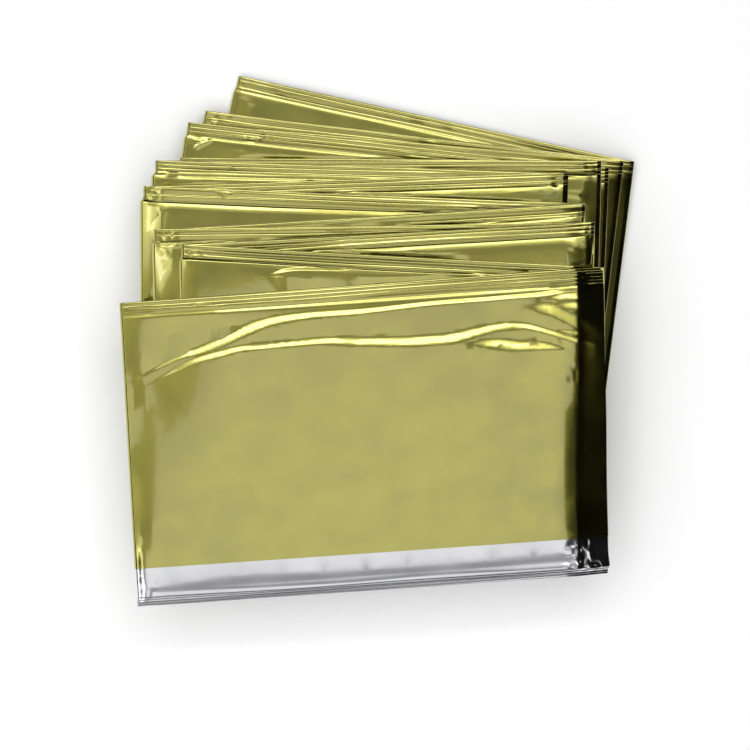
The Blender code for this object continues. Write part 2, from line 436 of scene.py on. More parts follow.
# A straight soft ridge, or a trough if its height is negative, on the top face of one panel.
Ridge = namedtuple("Ridge", "panel x_from y_from x_to y_to width height")
RIDGES = [Ridge(*row) for row in (
    (18, -62.6, -59.0, -62.0, -71.0, 2.6, 0.24),
    (14, -58.7, 24.7, -57.1, 23.1, 0.7, 0.06),
    (14, -57.6, 22.5, -56.3, 22.0, 0.7, 0.06),
    (12, -57.2, 34.4, -58.4, 33.2, 0.6, 0.06),
    (12, -58.4, 33.2, -58.0, 31.5, 0.6, 0.06),
    (12, -58.0, 31.5, -56.3, 30.2, 0.6, 0.06),
    (2, -38.4, 62.9, -34.7, 62.9, 0.7, 0.16),
    (2, -37.6, 64.9, -36.0, 64.3, 0.7, 0.1),
    (10, -56.7, 44.1, -54.7, 44.2, 0.6, 0.14),
    (9, 51.3, 45.2, 57.2, 45.5, 0.7, 0.2),
    (9, 52.9, 46.7, 56.1, 46.2, 0.5, 0.16),
    (9, 51.5, 40.0, 53.4, 38.9, 0.8, 0.2),
    (15, 51.1, 24.9, 56.7, 20.4, 1.0, 0.12),
    (15, 54.6, 27.3, 56.7, 21.4, 1.0, 0.12),
    (15, 52.5, 24.6, 56.2, 23.6, 0.8, 0.1),
    (17, 39.3, 17.9, 40.3, 15.8, 0.5, 0.2),
    (2, -29.7, 69.0, -27.3, 68.0, 0.45, 0.16),
    (2, -19.4, 66.8, -18.3, 65.8, 0.45, 0.2),
    (2, 8.8, 59.9, 11.8, 59.3, 0.5, 0.16),
    (2, 17.3, 58.4, 19.2, 57.7, 0.5, 0.18),
    (4, -40.2, 60.4, -38.4, 61.2, 0.45, 0.2),
    (4, 11.5, 54.1, 15.2, 52.8, 0.6, 0.26),
    (6, -32.1, 54.2, -30.2, 55.9, 0.42, 0.26),
    (6, -30.1, 54.2, -29.2, 55.6, 0.42, 0.22),
    (6, -35.8, 54.2, -34.4, 53.8, 0.45, 0.2),
    (6, -45.8, 53.5, -49.6, 51.9, 0.38, 0.12),
    (6, 9.6, 51.3, 12.0, 50.2, 0.5, 0.24),
    (10, -40.6, 46.6, -39.4, 46.0, 0.45, 0.2),
    (12, -43.0, 39.4, -41.9, 38.4, 0.42, 0.24),
    (12, -41.9, 38.4, -39.8, 39.1, 0.42, 0.2),
    (10, -18.7, 41.8, -17.3, 41.3, 0.45, 0.2),
    (12, -13.5, 40.6, -12.5, 39.3, 0.42, 0.26),
    (12, -12.9, 40.7, -11.9, 39.4, 0.42, 0.24),
    (14, -14.3, 28.3, -7.9, 28.2, 0.5, 0.18),
    (15, -10.5, 26.8, -7.3, 26.6, 0.5, 0.16),
    (14, -7.1, 27.1, -5.2, 27.5, 0.45, 0.16),
    (15, -7.3, 21.2, -5.7, 20.6, 0.45, 0.2),
    (15, -4.7, 21.4, -2.8, 21.2, 0.45, 0.18),
    (15, -1.2, 20.9, -0.7, 21.6, 0.42, 0.2),
    (15, -0.1, 20.5, 1.5, 20.9, 0.45, 0.18),
    (17, -2.0, 11.8, 1.2, 11.9, 0.45, 0.2),
    (17, 1.2, 12.8, 1.7, 11.8, 0.42, 0.2),
    (17, -29.2, 10.7, -21.2, 11.0, 0.5, 0.12),
)]
# A long soft step, up towards -Y, along a curve: its slope, how far on it dies out, over what lengths it
# grows at its one end and ceases at its other, its places and how wide it is at each.
Step = namedtuple("Step", "panel slope fade begin end x y width")
STEPS = [
    Step(18, 0.235, 45.0, 15.0, 6.0,
         (-66.0, -58.5, -53.6, -47.8, -41.1, -33.9, -29.1, -20.4, -5.2, 13.4, 34.5, 44.0, 50.2, 58.0),
         (-11.6, -7.6, -5.0, -3.3, -0.5, 2.8, 4.4, 5.9, 7.1, 9.2, 10.9, 11.8, 13.0, 13.4),
         (1.2, 1.3, 1.5, 1.9, 2.4, 2.6, 2.2, 1.7, 1.35, 1.1, 1.2, 1.3, 1.5, 1.5)),
    Step(18, 0.235, 45.0, 15.0, 6.0,
         (-62.0, -56.0, -50.0, -42.4, -36.3, -31.3, -24.6, -13.7, -5.2, 8.6, 20.1, 27.0, 33.9, 39.0, 45.5,
          51.1, 58.0),
         (-12.6, -9.4, -6.4, -4.2, -2.7, -2.25, -1.6, -0.7, -0.9, -0.8, 0.15, 2.0, 3.3, 3.15, 1.5,
          -0.3, -2.2),
         (1.2, 1.3, 1.4, 1.8, 1.5, 1.4, 1.5, 1.7, 2.0, 2.4, 2.6, 2.2, 1.7, 1.5, 1.3, 1.2, 1.2)),
    Step(18, 0.225, 35.0, 7.0, 5.0,
         (23.0, 31.8, 36.3, 44.7, 50.0), (-1.4, -1.5, -2.0, -2.2, -3.0), (1.6, 2.5, 2.6, 1.8, 1.0)),
    Step(18, 0.215, 35.0, 3.5, 8.0, (40.3, 45.6, 49.6, 60.0), (8.3, 7.6, 5.6, 1.0), (2.0, 3.0, 2.8, 2.6)),
    Step(18, 0.215, 30.0, 2.5, 8.0, (45.5, 49.0, 60.0), (10.6, 11.0, 11.4), (1.4, 1.7, 2.0)),
    Step(18, 0.21, 30.0, 2.5, 8.0, (47.5, 50.0, 60.0), (8.9, 8.8, 8.4), (1.6, 1.8, 1.8)),
    Step(18, 0.21, 30.0, 2.0, 8.0, (47.5, 50.5, 60.0), (2.1, 1.6, 0.6), (0.9, 1.0, 1.0)),
    Step(18, 0.22, 6.0, 3.0, 3.0, (-62.3, -56.5, -49.6, -41.9), (8.2, 8.7, 9.1, 9.0), (0.8, 0.9, 0.8, 0.7)),
    Step(16, 0.20, 12.0, 3.0, 3.0,
         (-28.8, -26.8, -23.1, -15.9, -8.0), (17.1, 17.7, 18.3, 18.4, 18.2), (0.8, 0.9, 0.9, 0.9, 0.7)),
    Step(16, 0.20, 12.0, 3.0, 3.0,
         (-28.8, -26.8, -23.1, -19.3, -15.0), (16.4, 15.9, 14.9, 13.8, 12.7), (1.0, 1.3, 1.4, 1.4, 1.4)),
]
STEP_DROP = 0.4             # this share of a step that fades far off is a drop on its +Y side
STEP_DROP_REACH = 25.0      # which reaches this far, and only steps that fade further off have one
STEP_RUN_OUT = 1.0          # a step still has some height this far past its places
LEAST_SIZE = 0.05           # a step narrows at its ends to this share of its width
SLOPE_SPAN = 0.2            # the slope of its curve is measured over this length

# Crumpled places: the panel, the middle, the reach, how far the film stands up and down and over what length.
Crumple = namedtuple("Crumple", "panel x y reach height length")
CRUMPLES = [Crumple(*row) for row in (
    (12, -60.8, 39.1, 3.0, 0.36, 1.3),
    (14, -56.9, 27.4, 3.4, 0.16, 1.3),
    (16, -50.8, 23.8, 3.2, 0.26, 1.3),
    (16, -46.5, 23.3, 2.6, 0.16, 1.2),
    (4, -44.8, 60.4, 4.0, 0.16, 1.5),
    (6, -49.5, 54.0, 2.6, 0.12, 1.6),
    (2, -37.6, 69.8, 3.0, 0.25, 1.8),
    (10, -59.8, 46.6, 3.0, 0.25, 1.8),
    (8, -53.2, 47.9, 2.5, 0.2, 1.6),
    (11, 48.7, 42.0, 3.0, 0.22, 1.8),
    (13, 53.7, 34.6, 3.0, 0.28, 1.8),
    (15, 56.2, 29.4, 3.0, 0.4, 1.8),
    (18, -67.9, 8.5, 1.6, 0.3, 1.2),
    (18, 53.3, 15.7, 2.6, 0.4, 1.6),
    (17, 57.6, 16.8, 2.6, 0.3, 1.6),
    (9, 56.7, 46.4, 3.2, 0.25, 2.0),
    (7, 60.8, 45.0, 1.6, 0.3, 1.4),
    (18, -61.5, -66.0, 5.0, 0.06, 1.8),
    (18, 55.0, -58.5, 7.0, 0.45, 1.6),
    (18, 51.4, -10.0, 3.0, 0.1, 1.8),
)]
CREST, BROAD_TROUGHS, NARROW_TROUGHS = 0.6, 1.6, 0.6  # its crests and troughs, as shares of that height
BROAD_SEED, NARROW_SEED = 40, 60
CRUMPLE_CORE = 0.3          # the share of its reach in which it is crumpled in full

# Where one panel's top face curls down under the top edge of a panel above it, and between which x.
Tuck = namedtuple("Tuck", "panel under depth reach x_from x_to")
TUCKS = [Tuck(*row) for row in (
    (6, 8, 0.18, 0.7, -60.0, 60.0),
    (8, 9, 0.25, 0.7, -50.0, 60.0),
    (9, 10, 0.4, 0.9, 10.0, 51.0),
    (9, 11, 0.4, 0.6, 30.0, 55.0),
    (10, 12, 0.34, 0.7, -60.0, 60.0),
    (11, 12, 0.3, 0.6, -20.0, 60.0),
    (11, 13, 0.38, 0.6, -20.0, 60.0),
    (12, 13, 0.4, 0.9, 8.0, 60.0),
    (12, 14, 0.36, 0.4, -60.0, 60.0),
    (12, 18, 0.4, 0.8, -70.0, 60.0),
    (13, 14, 0.4, 0.8, -16.0, 30.0),
    (13, 15, 0.38, 0.4, 20.0, 60.0),
    (14, 15, 0.38, 0.5, -50.0, 60.0),
    (14, 18, 0.4, 0.8, -70.0, 60.0),
    (15, 16, 0.4, 0.9, -20.0, 40.0),
    (15, 17, 0.4, 0.5, 20.0, 60.0),
    (16, 17, 0.4, 1.0, -40.0, 52.0),
)]
TUCK_TAPER, TUCK_RUN_OUT = 3.0, 0.5  # how far inside and outside those x it grows
MOST_PRESSED = 0.40         # a face is pressed down at most this much

SOFT_WAVES, SOFT_WAVE_LENGTH, SOFT_WAVE_SEED = 0.16, 20.0, 7  # no face is quite flat
PANEL_SHIFT = 31.0          # moves these waves on from panel to panel, so that each has its own
RELIEF_START = 1.5          # over this distance from a turn the relief of a face begins


def along_line(x, y, x_from, y_from, x_to, y_to):
    """The distance from places to a straight stretch."""
    dx, dy = x_to - x_from, y_to - y_from
    share = np.clip(((x - x_from) * dx + (y - y_from) * dy) / (dx * dx + dy * dy), 0.0, 1.0)
    return np.hypot(x - x_from - share * dx, y - y_from - share * dy)


def through(places_x, places_y, x):
    """The height at each x of a smooth curve through these places."""
    px, py = np.array(places_x), np.array(places_y)
    slope = np.gradient(py, px)
    k = np.clip(np.searchsorted(px, x) - 1, 0, len(px) - 2)
    run = px[k + 1] - px[k]
    share = np.clip((x - px[k]) / run, 0.0, 1.0)
    left = (1.0 + 2.0 * share) * py[k] + share * run * slope[k]
    right = (3.0 - 2.0 * share) * py[k + 1] - (1.0 - share) * run * slope[k + 1]
    return left * (1.0 - share) ** 2 + right * share ** 2


def curve_slope(step, x):
    """How steeply a step's curve runs in plan."""
    after, before = through(step.x, step.y, x + SLOPE_SPAN / 2), through(step.x, step.y, x - SLOPE_SPAN / 2)
    return (after - before) / SLOPE_SPAN


def below_curve(step, x, y):
    """How far places lie beyond a step's curve towards -Y, square to it."""
    return (through(step.x, step.y, x) - y) / np.hypot(1.0, curve_slope(step, x))


def edge_slope(panel):
    """How steeply a panel's top edge runs in plan."""
    one, other = FOLDS[panel - 1], FOLDS[panel]
    return (other.y - one.y) / (other.x - one.x)


def above_edge(panel, x, y):
    """How far places lie beyond a panel's top edge, in plan."""
    one, slope = FOLDS[panel - 1], edge_slope(panel)
    return (y - one.y - slope * (x - one.x)) / math.hypot(1.0, slope)


def ridge_lift(ridge, x, y):
    """How far a ridge raises the film, or how far a trough lowers it."""
    near = along_line(x, y, ridge.x_from, ridge.y_from, ridge.x_to, ridge.y_to)
    return ridge.height * np.exp(-(near / ridge.width) ** 2)


def step_lift(step, x, y):
    """How far a step raises the film on its -Y side, and lowers it on the other if it fades far off."""
    begin, end = step.x[0], step.x[-1]
    size = smooth(begin - STEP_RUN_OUT, begin + step.begin, x) * smooth(end + STEP_RUN_OUT, end - step.end, x)
    below = below_curve(step, x, y)
    width = np.interp(x, step.x, step.width) * np.maximum(size, LEAST_SIZE)
    fade = smooth(step.fade, width / 2, below) * smooth(-STEP_DROP_REACH, -width / 2, below)
    drop = STEP_DROP * (step.fade > STEP_DROP_REACH)
    return np.where(size > 0.0, (ramp(below / width + 0.5) - drop) * fade * step.slope * width, 0.0)


def crumple_lift(number, crumple, x, y):
    """How far the film stands up and down in a crumpled place."""
    near = np.hypot(x - crumple.x, y - crumple.y) / crumple.reach
    broad = wander_over(BROAD_SEED + number, x, y, crumple.length)
    narrow = wander_over(NARROW_SEED + number, x, y, crumple.length / 2)
    rough = CREST - BROAD_TROUGHS * np.abs(broad) - NARROW_TROUGHS * np.abs(narrow)
    return crumple.height * rough * smooth(1.0, CRUMPLE_CORE, near)


def tuck_drop(tuck, x, y):
    """How far a face curls down under the edge of the panel above it."""
    one, other = FOLDS[tuck.under - 1], FOLDS[tuck.under]
    begin = max(min(one.x, other.x), tuck.x_from)
    end = min(max(one.x, other.x), tuck.x_to)
    drop = tuck.depth * np.clip(1.0 - above_edge(tuck.under, x, y) / tuck.reach, 0.0, 1.0)
    from_begin = smooth(begin - TUCK_RUN_OUT, begin + TUCK_TAPER, x)
    from_end = smooth(end + TUCK_RUN_OUT, end - TUCK_TAPER, x)
    return drop * (from_begin * from_end)


def relief(panel, x, y):
    """How far the outermost film of each panel's top face stands above its plain shape."""
    lift = SOFT_WAVES * wander_over(SOFT_WAVE_SEED, x + PANEL_SHIFT * panel, y, SOFT_WAVE_LENGTH)
    for ridge in RIDGES:
        lift += np.where(panel == ridge.panel, ridge_lift(ridge, x, y), 0.0)
    for step in STEPS:
        lift += np.where(panel == step.panel, step_lift(step, x, y), 0.0)
    for number, crumple in enumerate(CRUMPLES):
        lift += np.where(panel == crumple.panel, crumple_lift(number, crumple, x, y), 0.0)
    for tuck in TUCKS:
        lift -= np.where(panel == tuck.panel, tuck_drop(tuck, x, y), 0.0)
    return np.maximum(lift, -MOST_PRESSED)


def folded(along, across):
    """Where the folding takes places on the film, and their heights up the strip and passes."""
    height, depth, number = strip_section(along, across)
    place, squeeze = middle(along, height)
    normal = across_middle(along, height)
    up = facing_up(along)
    half = np.where(number < HALF, 1, -1)
    outer = np.abs(number - (HALF - 0.5)) / (HALF - 0.5)
    clear = smooth(0.0, RELIEF_START, from_turn(along))
    lift = relief(segment_of(along) // 2 + 1, place[:, 0], place[:, 1]) * outer * clear * (half == up)
    offset = depth * squeeze + half * lift
    return place + normal * offset[:, None], height, number


# --- the film as a mesh ---

TURN_SHARES = (0.0, 0.18, 0.36, 0.485, 0.50, 0.515, 0.64, 0.82)  # rows of points in a turn
END_INSETS = (0.2, 1.5, 5.0)                # and in a panel, at these distances from its ends
BEND_ROWS = (-1.6, -0.7, 0.0, 0.9, 2.2)     # and from the line where it bends down
LEAST_ROW_GAP = 0.8                         # rows at its end are left out where they lie closer than this
COARSE_STEP = 24.0                          # the other rows of a panel are about this far apart
OUTER_STATIONS = (0.1, 0.4, 1.4)            # lines of points this far from a crease, on its outer film
INNER_STATIONS = (0.4, 1.4)                 # on the film inside it
FACE_STATIONS = (4.0, 14.0, 40.0)           # and on a face
SILVER_HEIGHT = 13.0                        # the film's silver side shows below this height


def bend_insets(panel):
    """How far from its right end a panel begins to droop, as rows of points on both sides of the bend."""
    if panel < FIRST_DROOPING:
        return END_INSETS[-1:]
    right = max(panel - 1, panel, key=lambda index: FOLDS[index].side)
    start = FOLDS[right].x - DROOP_START_X + DROOP_STEP * (PANELS - panel)
    return tuple(start + shift for shift in BEND_ROWS)


def stations_along():
    """Places along the strip, in segments, at which the film has a row of points."""
    places = []
    for panel in range(1, PANELS + 1):
        length = panel_length(panel)
        rows = bend_insets(panel)
        right = tuple(inset for inset in END_INSETS if inset < rows[0] - LEAST_ROW_GAP) + rows
        near, far = (right, END_INSETS) if panel % 2 == 1 else (END_INSETS, right)
        between = length - near[-1] - far[-1]
        count = round(between / COARSE_STEP)
        inner = [near[-1] + between * k / count for k in range(1, count)]
        row = [0.0] + list(near) + inner + [length - inset for inset in reversed(far)]
        places += [2 * (panel - 1) + distance / length for distance in row]
        if panel < PANELS:
            places += [2 * panel - 1 + share for share in TURN_SHARES]
    return places + [float(SEGMENTS)]


def is_outer_film(number, at_top):
    """True for the film of a crease that faces out of the strip; passes count from 0."""
    if at_top:
        return (number % 2 == 0) == (number < HALF)
    return (number % 2 == 1) == (number < HALF)


def stations_across():
    """Places across the film, in passes, at which it has a line of points."""
    places = []
    for number in range(PASSES):
        end_pass = number in (0, PASSES - 1)
        high = TOP_CREASES[number // 2].height
        low = CUT_EDGE if end_pass else BOTTOM_CREASES[(number + 1) // 2 - 1].height
        near_top = OUTER_STATIONS if is_outer_film(number, True) else INNER_STATIONS
        near_bottom = OUTER_STATIONS if is_outer_film(number, False) else INNER_STATIONS
        heights = [high - distance for distance in near_top]
        if end_pass:
            heights += [high - distance for distance in FACE_STATIONS]
        else:
            heights += [low + distance for distance in near_bottom]
        if number in (1, PASSES - 2):
            heights.append(SILVER_HEIGHT)
        shares = sorted((h - low) / (high - low) for h in heights)
        if number % 2 == 1:
            shares = [1.0 - share for share in reversed(shares)]
        places += [float(number)] + [number + share for share in shares]
    return places + [float(PASSES)]


# How long edges of the mesh may be, in the film of the faces that show and along the creases at their top.
LONGEST, SEEN_STEP = 99.0, 12.0
BAND_HEIGHT, BAND_STEP = 76.0, 4.2
TIP_STEP, TIP_GROWTH, TIP_REACH = 0.09, 0.34, 4.0  # at a crease, how it grows away from it, how far
FRONT_PANEL, FRONT_STEP = PANELS, 2.6
SILVER_STEP = 4.0
# And where the film has relief: for ridges and steps as shares of their width, otherwise in millimetres.
RIDGE_MARGIN, RIDGE_STEP = 1.7, 0.9
STEP_MARGIN, STEP_STEP, STEP_GROWTH = 0.7, 0.3, 0.7
STEP_EDGE_STEP, STEP_EDGE_GROWTH = 0.12, 0.5
STEP_SLANT, STEP_ALONG = 0.1, (0.3, 1.2)  # along a step, less where it slants to the rows
CRUMPLE_STEP = 0.6
TUCK_ALONG, TUCK_ACROSS, TUCK_MARGIN = 2.8, 0.32, 0.3
SHARPEST_TUCK = 1.0         # a tuck that reaches this far is soft enough for the mesh as it is
HIDDEN_MARGIN = 1.0         # film this far under another panel doesn't show
TOO_LONG = 1.4              # an edge is cut in two when it is this many times as long as it may be
FINER_ROUNDS = 7
LEAST_SLANT = 0.01          # steps that slant less are meshed as if they slanted this much

# Edges of the mesh: the panel, place, height up the strip and pass of their middles, the pass counted from
# the top of the panel, whether they run along the film, and how long they are.
Edges = namedtuple("Edges", "panel x y height across pass_from_top runs_along length")


def is_seen(panel, x, y):
    """False where another panel lies on top, for places on the panels."""
    seen = np.full(len(x), True)
    for other in range(2, PANELS + 1):
        ends = sorted((FOLDS[other - 1], FOLDS[other]), key=lambda fold: fold.side)
        left, right = (end.x + (end.y - y) * math.tan(math.radians(end.lean)) for end in ends)
        inside = (x > left + HIDDEN_MARGIN) & (x < right - HIDDEN_MARGIN)
        seen &= ~((other > panel) & inside & (above_edge(other, x, y) < -HIDDEN_MARGIN))
    return seen


def wanted_at_creases(edges):
    """How long edges may be for the strip's own shape, and which of them lie in film that shows."""
    want = np.full(len(edges.x), LONGEST)
    facing = edges.pass_from_top < HALF
    seen = facing & is_seen(edges.panel, edges.x, edges.y)
    in_band = seen & (edges.height > BAND_HEIGHT)
    want[seen] = SEEN_STEP
    want[in_band & edges.runs_along] = BAND_STEP
    share = edges.across % 1.0
    from_top = np.where(edges.across // 1.0 % 2 == 0, 1.0 - share, share) * STRIP_WIDTH
    outer = edges.pass_from_top // 1.0 % 2 == 0
    near = seen & ~edges.runs_along & outer & (from_top < TIP_REACH)
    want[near] = (TIP_STEP + TIP_GROWTH * from_top)[near]
    silver = facing & (edges.panel == FRONT_PANEL) & (edges.height < SILVER_HEIGHT)
    want[silver & edges.runs_along] = SILVER_STEP
    near = silver & ~edges.runs_along & ~outer
    want[near] = (TIP_STEP + TIP_GROWTH * (STRIP_WIDTH - from_top))[near]
    in_face = (edges.pass_from_top < 1.0) & (edges.height > CUT_EDGE - 1.0) & seen
    front = in_face & (edges.panel == FRONT_PANEL)
    want[front] = np.minimum(want[front], FRONT_STEP)
    return want, in_face | in_band | silver


def wanted_for_step(step, edges):
    """How long edges may be near a step: least at its two borders."""
    below = np.abs(below_curve(step, edges.x, edges.y))
    width = np.interp(edges.x, step.x, step.width)
    past_ends = np.maximum(step.x[0] - edges.x, edges.x - step.x[-1]) - STEP_RUN_OUT
    away = np.maximum(below - STEP_MARGIN * width, 0.0) + np.maximum(past_ends, 0.0)
    slant = np.abs(curve_slope(step, edges.x) - edge_slope(step.panel))
    fine_along = np.clip(STEP_SLANT / np.maximum(slant, LEAST_SLANT), *STEP_ALONG)
    want = np.where(edges.runs_along, fine_along, STEP_STEP) * width + STEP_GROWTH * away
    at_border = STEP_EDGE_STEP * width + STEP_EDGE_GROWTH * (np.abs(below - width / 2) + away)
    return np.where(edges.runs_along, want, np.minimum(want, at_border))


def wanted_in_relief(edges):
    """How long edges may be for the ridges, steps, crumpled places and tucks of their panels."""
    want = np.full(len(edges.x), LONGEST)

    def shorten(panel, near, length):
        place = (edges.panel == panel) & near
        want[place] = np.minimum(want, length)[place]

    half = edges.length / 2
    for ridge in RIDGES:
        away = along_line(edges.x, edges.y, ridge.x_from, ridge.y_from, ridge.x_to, ridge.y_to)
        shorten(ridge.panel, away < RIDGE_MARGIN * ridge.width + half, RIDGE_STEP * ridge.width)
    for step in STEPS:
        shorten(step.panel, True, wanted_for_step(step, edges))
    for crumple in CRUMPLES:
        away = np.hypot(edges.x - crumple.x, edges.y - crumple.y)
        shorten(crumple.panel, away < crumple.reach + half, CRUMPLE_STEP)
    for tuck in [tuck for tuck in TUCKS if tuck.reach < SHARPEST_TUCK]:
        beyond = np.abs(above_edge(tuck.under, edges.x, edges.y) - tuck.reach / 2)
        near = beyond < tuck.reach / 2 + TUCK_MARGIN + np.where(edges.runs_along, 0.0, half)
        shorten(tuck.panel, near, np.where(edges.runs_along, TUCK_ALONG, TUCK_ACROSS))
    return want


def wanted_length(edges):
    """How long edges may be, for the creases and, where the film shows, for its relief."""
    want, shows = wanted_at_creases(edges)
    return np.where(shows, np.minimum(want, wanted_in_relief(edges)), want)


def flat_places(film):
    """The places of a film's points along it, in segments, and across it, in passes."""
    return np.array([(v.co.x, v.co.y) for v in film.verts])


def make_finer(film):
    """Cut the edges that are too long for what the film does there in two."""
    film.verts.index_update()
    flat = flat_places(film)
    places, height, _ = folded(flat[:, 0], flat[:, 1])
    ends = np.array([(e.verts[0].index, e.verts[1].index) for e in film.edges])
    length = np.linalg.norm(places[ends[:, 0]] - places[ends[:, 1]], axis=1)
    centre, along, across = places[ends].mean(axis=1), flat[ends, 0].mean(axis=1), flat[ends, 1].mean(axis=1)
    segment = segment_of(along)
    pass_from_top = np.where(facing_up(along) == 1, across, PASSES - across)
    runs_along = np.abs(flat[ends[:, 0], 0] - flat[ends[:, 1], 0]) > 1e-7
    want = wanted_length(Edges(segment // 2 + 1, centre[:, 0], centre[:, 1], height[ends].mean(axis=1),
                               across, pass_from_top, runs_along, length))
    film.edges.ensure_lookup_table()
    too_long = (length > TOO_LONG * want) & (segment % 2 == 0)
    edges = [film.edges[k] for k in np.nonzero(too_long)[0]]
    bmesh.ops.subdivide_edges(film, edges=edges, cuts=1, use_grid_fill=True)


def flat_film():
    """The film as it is cut, its points closest where the folding and the creases will need them."""
    along, across = stations_along(), stations_across()
    film = bmesh.new()
    bmesh.ops.create_grid(film, x_segments=len(along) - 1, y_segments=len(across) - 1, size=0.5)
    for v in film.verts:
        v.co.x = along[round((v.co.x + 0.5) * (len(along) - 1))]
        v.co.y = across[round((v.co.y + 0.5) * (len(across) - 1))]
    for _ in range(FINER_ROUNDS):
        make_finer(film)
    many_sided = [face for face in film.faces if len(face.verts) > 4]
    bmesh.ops.triangulate(film, faces=many_sided)
    return film


def silver_faces(mesh, height, across):
    """1 for the faces low on the strip, except in its two outermost passes, and 0 for the others."""
    starts, totals = np.zeros(len(mesh.polygons), np.int32), np.zeros(len(mesh.polygons), np.int32)
    mesh.polygons.foreach_get("loop_start", starts)
    mesh.polygons.foreach_get("loop_total", totals)
    mean_height, mean_across = (np.add.reduceat(value, starts) / totals for value in (height, across))
    inner = (mean_across > 1.0) & (mean_across < PASSES - 1.0)
    return (inner & (mean_height < SILVER_HEIGHT)).astype(np.int32)


def film_mesh():
    """The folded film as one open sheet in metres, with its own flat shape as the UV map."""
    film = flat_film()
    flat = flat_places(film)
    places, height, _ = folded(flat[:, 0], flat[:, 1])
    mesh = bpy.data.meshes.new("foil_blanket")
    film.to_mesh(mesh)
    film.free()
    mesh.vertices.foreach_set("co", (places * MM).astype(np.float32).ravel())
    corner = np.zeros(len(mesh.loops), np.int32)
    mesh.loops.foreach_get("vertex_index", corner)
    run = along_film(flat[:, 0])
    on_film = np.array((run * FILM_LENGTH / run.max(), flat[:, 1] * FILM_WIDTH / PASSES)).T * MM
    mesh.uv_layers.new(name="film").uv.foreach_set("vector", on_film[corner].astype(np.float32).ravel())
    mesh.polygons.foreach_set("material_index", silver_faces(mesh, height[corner], flat[corner, 1]))
    mesh.polygons.foreach_set("use_smooth", np.ones(len(mesh.polygons), bool))
    mesh.update()
    return mesh


# --- the film's materials ---

def linear(code):
    """An sRGB hex code as a linear colour."""
    parts = [int(code[k:k + 2], 16) / 255 for k in (1, 3, 5)]
    return [p / 12.92 if p <= 0.04045 else ((p + 0.055) / 1.055) ** 2.4 for p in parts] + [1.0]


def set_inputs(tree, node, inputs):
    """Give a node's inputs values, or join them to the outputs of other nodes."""
    for name, value in inputs.items():
        if isinstance(value, bpy.types.NodeSocket):
            tree.links.new(value, node.inputs[name])
        else:
            node.inputs[name].default_value = value


def add_node(tree, kind, settings, inputs):
    """A node with these settings and inputs."""
    node = tree.nodes.new(kind)
    for name, value in settings.items():
        setattr(node, name, value)
    set_inputs(tree, node, inputs)
    return node


TINT_PATCH = 0.032          # metres: the broad patches where the film's tint is a little warmer
SHEEN_PATCH = 0.011         # the patches where it is a little duller
CRINKLE = 0.0035            # the fine crinkles that break up its reflections
CRINKLE_DEPTH = 0.000010
SHEEN_RANGE = (0.3, 0.7)    # the values of the pattern between which the film's dullness changes
UNEVEN_SHEEN = 0.04         # and by how much
MIX_FIRST, MIX_SECOND, MIX_RESULT = 6, 7, 2  # a Mix node's colour sockets share their names with others


def film_material(name, tint, warm_tint, roughness):
    """Polyester film with aluminium laid on it in a vacuum: a mirror, tinted by the clear film over it."""
    material = bpy.data.materials.new(name)
    material.use_nodes = True
    tree = material.node_tree
    on_film = add_node(tree, "ShaderNodeUVMap", {"uv_map": "film"}, {}).outputs["UV"]
    tint_patches, sheen_patches, crinkles = (
        add_node(tree, "ShaderNodeTexNoise", {}, {"Vector": on_film, "Scale": 1.0 / length, "Detail": detail})
        for length, detail in ((TINT_PATCH, 2.0), (SHEEN_PATCH, 2.0), (CRINKLE, 3.0)))
    # Handling has left the tint warmer in places.
    colour = add_node(tree, "ShaderNodeMix", {"data_type": "RGBA"},
                      {"Factor": tint_patches.outputs["Fac"], MIX_FIRST: tint, MIX_SECOND: warm_tint})
    # The patches blur the reflections unevenly, so that no highlight has a clean edge.
    dull = add_node(tree, "ShaderNodeMapRange", {},
                    {"Value": sheen_patches.outputs["Fac"],
                     "From Min": SHEEN_RANGE[0], "From Max": SHEEN_RANGE[1],
                     "To Min": roughness - UNEVEN_SHEEN, "To Max": roughness + UNEVEN_SHEEN})
    # The crinkles catch the light as a fine unrest.
    bump = add_node(tree, "ShaderNodeBump", {},
                    {"Height": crinkles.outputs["Fac"], "Distance": CRINKLE_DEPTH})
    # The clear film over the metal has a sharper shine of its own.
    set_inputs(tree, tree.nodes["Principled BSDF"], {
        "Base Color": colour.outputs[MIX_RESULT], "Metallic": 1.0, "Roughness": dull.outputs["Result"],
        "Normal": bump.outputs["Normal"], "Coat Normal": bump.outputs["Normal"],
        "Coat Weight": 1.0, "Coat Roughness": 0.06, "Coat IOR": 2.0})
    return material


blanket = bpy.data.objects.new("foil_blanket", film_mesh())
bpy.context.scene.collection.objects.link(blanket)
for film_name, film_tint, film_warm_tint, film_roughness in (
        ("olive_metallised_polyester", "#C4C04A", "#BAB143", 0.19),
        ("silver_metallised_polyester", "#F6F6F8", "#ECECF0", 0.16)):
    blanket.data.materials.append(
        film_material(film_name, linear(film_tint), linear(film_warm_tint), film_roughness))
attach(blanket, "root")
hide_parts("folded_blanket")


# --- floor and light, in metres ---

FLOOR_SIZE = 8.0
WORLD_STRENGTH = 0.003


def make_floor():
    """White studio paper, so matt that nothing shines in it."""
    bpy.ops.mesh.primitive_plane_add(size=FLOOR_SIZE, location=(0, 0, 0))
    floor = bpy.context.object
    floor.name = "floor"
    material = bpy.data.materials.new("white_studio_paper")
    material.use_nodes = True
    tree = material.node_tree
    set_inputs(tree, tree.nodes["Principled BSDF"],
               {"Base Color": linear("#F4F4F4"), "Roughness": 0.9, "Specular IOR Level": 0.1})
    floor.data.materials.append(material)


